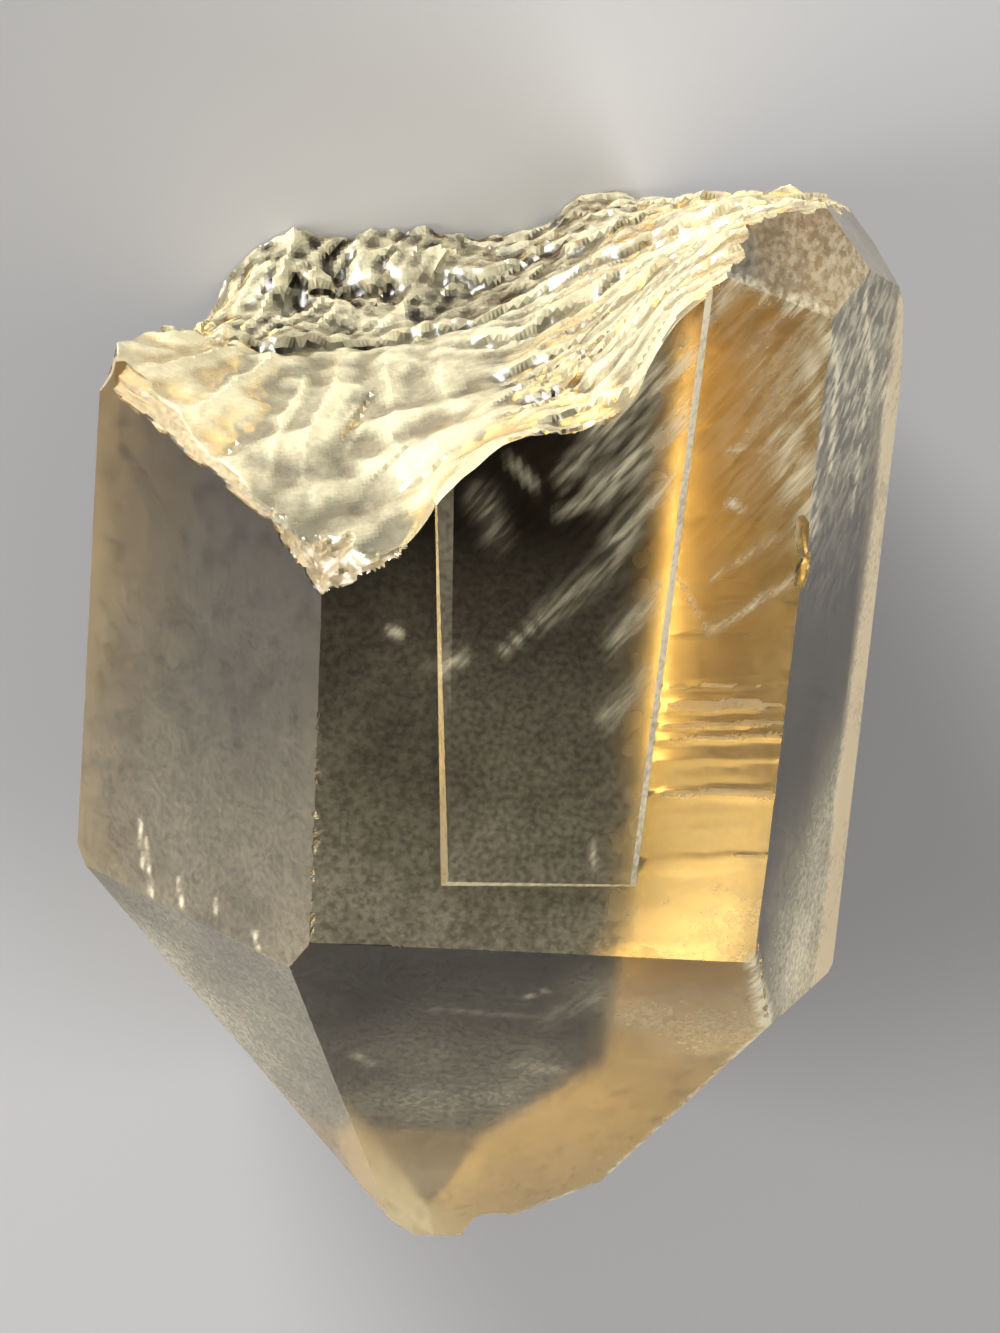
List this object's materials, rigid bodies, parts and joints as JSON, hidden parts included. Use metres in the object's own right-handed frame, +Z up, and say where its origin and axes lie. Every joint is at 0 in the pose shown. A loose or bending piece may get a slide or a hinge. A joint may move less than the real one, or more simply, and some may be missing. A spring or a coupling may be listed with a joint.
{
  "type": "citrine crystal",
  "caption": "Stout clear golden quartz point with flat prism and tip faces and a rough, shell-like broken base, lying on one prism face.",
  "frame": {"origin": "centre of the bounding box in X and Y, at the underside face that the crystal lies on", "axes": "+Z up, square to the face it lies on; the crystal's long axis runs along Y, with the tip toward -Y and the broken base toward +Y; +X to the right seen from above with the break at the top"},
  "size_m": [0.0314, 0.046, 0.0234],
  "materials": {
    "citrine": "clear golden quartz with smooth faces, one frosted face and a glassy broken base"
  },
  "bodies": {
    "root": {"citrine_crystal": "citrine"}
  },
  "joints": []
}
